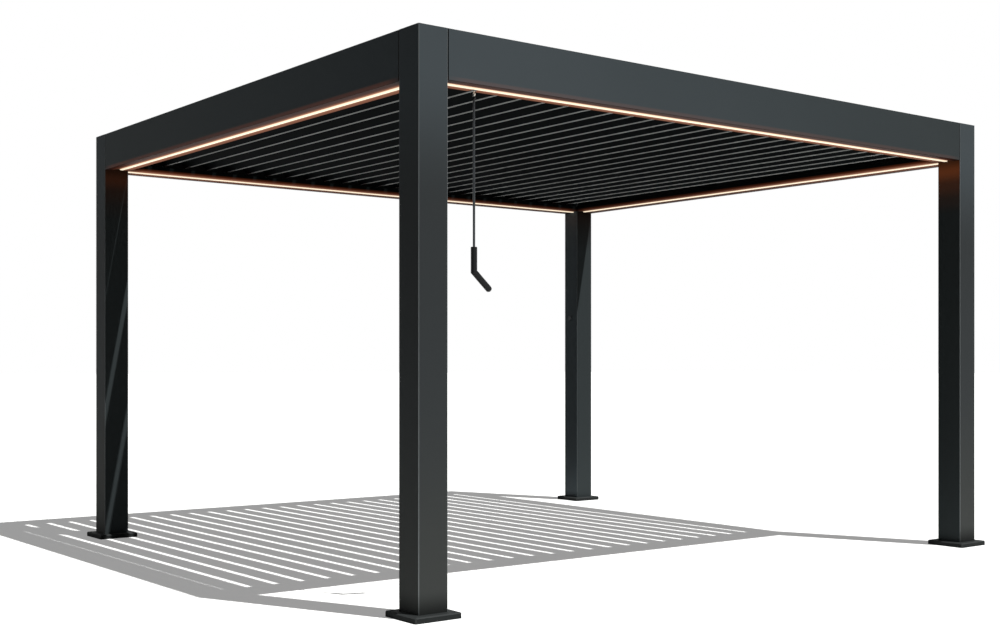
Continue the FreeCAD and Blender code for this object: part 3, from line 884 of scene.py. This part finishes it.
louvre_names = sorted(name for name in nodes if name.startswith("louvre_"))
for name in louvre_names:
    low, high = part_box(name)
    centre = {"Axis X": (low[0] + high[0]) / 2, "Axis Z": (low[2] + high[2]) / 2}
    seal = grow(tree, name.replace("louvre", "nose_seal"), {**SEAL_SIZES, **centre})
    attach(seal, name)
print(len(louvre_names), "nose seals of", len(seal.data.polygons), "faces each")

# %% [markdown]
# On the front and the left side the lens sits against a flat trim, as deep as the lens stands proud. From
# outside it shows as a copper band under the bright line, which is painted light that its coat gives
# off. It is a rounded bar, swept along a straight line, and the front one leaves a gap where the crank's
# bearing comes out of the gutter.

# %% Trims beside the strips
TRIM_SIZES = {"Width": 0.0405, "Depth": 0.0064, "Rounding": 0.001}
TRIM_PLACES = ["Start", "End", "Turn", "Middle X", "Middle Y", "Middle Z"]
TRIM_END_X = 1.845
TRIM_END_Y = 1.64
CRANK_GAP = 0.022

tree, sizes, output = start_tree("light_trim", [*TRIM_SIZES, *TRIM_PLACES])
near_end = add_node(tree, JOIN, None, {"X": sizes.outputs["Start"]})
far_end = add_node(tree, JOIN, None, {"X": sizes.outputs["End"]})
run = add_node(
    tree,
    "GeometryNodeCurvePrimitiveLine",
    None,
    {"Start": near_end.outputs[0], "End": far_end.outputs[0]},
)
section = add_node(
    tree,
    "GeometryNodeCurvePrimitiveQuadrilateral",
    None,
    {"Width": sizes.outputs["Width"], "Height": sizes.outputs["Depth"]},
)
section = add_node(
    tree, "GeometryNodeFilletCurve", None, {"Curve": section.outputs[0], "Radius": sizes.outputs["Rounding"]}
)
bar = add_node(
    tree,
    "GeometryNodeCurveToMesh",
    {"Fill Caps": True},
    {"Curve": run.outputs[0], "Profile Curve": section.outputs[0]},
)
turn = add_node(tree, JOIN, None, {"Z": sizes.outputs["Turn"]})
middle = add_node(
    tree,
    JOIN,
    None,
    {"X": sizes.outputs["Middle X"], "Y": sizes.outputs["Middle Y"], "Z": sizes.outputs["Middle Z"]},
)
placed = add_node(
    tree,
    "GeometryNodeTransform",
    None,
    {"Geometry": bar.outputs[0], "Rotation": turn.outputs[0], "Translation": middle.outputs[0]},
)
real = add_node(tree, "GeometryNodeRealizeInstances", None, {"Geometry": placed.outputs[0]})
# The trim's copper band is the painted glow of the gutter coat.
finished = add_node(
    tree, "GeometryNodeSetMaterial", {"Material": gutter_coat}, {"Geometry": real.outputs[0]}
)
tree.links.new(finished.outputs[0], output.inputs[0])

front_gutter_low, front_gutter_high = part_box("front_gutter")
left_gutter_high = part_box("left_gutter")[1]
crank_middle = (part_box("crank_boss")[0][0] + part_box("crank_boss")[1][0]) / 2
all_runs = {**TRIM_SIZES, "Middle Z": front_gutter_low[2] - TRIM_SIZES["Depth"] / 2}
front_runs = {"Turn": 0.0, "Middle X": 0.0, "Middle Y": front_gutter_high[1] - TRIM_SIZES["Width"] / 2}
left_run = {"Turn": math.pi / 2, "Middle X": left_gutter_high[0] - TRIM_SIZES["Width"] / 2, "Middle Y": 0.0}
TRIM_RUNS = {
    "front_light_trim_short": {**front_runs, "Start": -TRIM_END_X, "End": crank_middle - CRANK_GAP},
    "front_light_trim_long": {**front_runs, "Start": crank_middle + CRANK_GAP, "End": TRIM_END_X},
    "left_light_trim": {**left_run, "Start": -TRIM_END_Y, "End": TRIM_END_Y},
}
for name, run_sizes in TRIM_RUNS.items():
    trim = grow(tree, name, {**all_runs, **run_sizes})
    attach(trim, "frame")
    corners = [Vector(corner) for corner in trim.bound_box]
    print(name, "from", [round(v, 4) for v in corners[0]], "to", [round(v, 4) for v in corners[6]])

# %% [markdown]
# Each foot is bolted down through four holes, and low plugs close the holes so that no water stands in
# them. Sixteen plugs are one plug, set out on a small grid inside a large grid: the small grid is the
# bolt pattern of one foot, and the large one is the plan of the feet.

# %% Anchor plugs
PLUG_SIZES = {
    "Feet Apart X": 3.85,
    "Feet Apart Y": 3.45,
    "Bolts Apart": 0.193,
    "Plug Radius": 0.0088,
    "Plug Height": 0.0016,
    "Foot Top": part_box("front_left_foot")[0][2] + 0.026,
}

tree, sizes, output = start_tree("anchor_plugs", PLUG_SIZES)
top_radius = add_node(
    tree, MATH, {"operation": "MULTIPLY", 1: 0.82}, {0: sizes.outputs["Plug Radius"]}
)
plug = add_node(
    tree,
    "GeometryNodeMeshCone",
    {"Vertices": 16},
    {
        "Radius Top": top_radius.outputs[0],
        "Radius Bottom": sizes.outputs["Plug Radius"],
        "Depth": sizes.outputs["Plug Height"],
    },
)
bolt_grid = add_node(
    tree,
    "GeometryNodeMeshGrid",
    {"Vertices X": 2, "Vertices Y": 2},
    {"Size X": sizes.outputs["Bolts Apart"], "Size Y": sizes.outputs["Bolts Apart"]},
)
foot_plugs = add_node(
    tree,
    "GeometryNodeInstanceOnPoints",
    None,
    {"Points": bolt_grid.outputs[0], "Instance": plug.outputs[0]},
)
foot_grid = add_node(
    tree,
    "GeometryNodeMeshGrid",
    {"Vertices X": 2, "Vertices Y": 2},
    {"Size X": sizes.outputs["Feet Apart X"], "Size Y": sizes.outputs["Feet Apart Y"]},
)
all_plugs = add_node(
    tree,
    "GeometryNodeInstanceOnPoints",
    None,
    {"Points": foot_grid.outputs[0], "Instance": foot_plugs.outputs[0]},
)
height = add_node(tree, JOIN, None, {"Z": sizes.outputs["Foot Top"]})
raised = add_node(
    tree, "GeometryNodeTransform", None, {"Geometry": all_plugs.outputs[0], "Translation": height.outputs[0]}
)
real = add_node(tree, "GeometryNodeRealizeInstances", None, {"Geometry": raised.outputs[0]})
finished = add_node(
    tree, "GeometryNodeSetMaterial", {"Material": foot_coat}, {"Geometry": real.outputs[0]}
)
tree.links.new(finished.outputs[0], output.inputs[0])

plugs = grow(tree, "anchor_plugs", PLUG_SIZES)
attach(plugs, "frame")
print("anchor plugs", len(plugs.data.polygons), "faces")
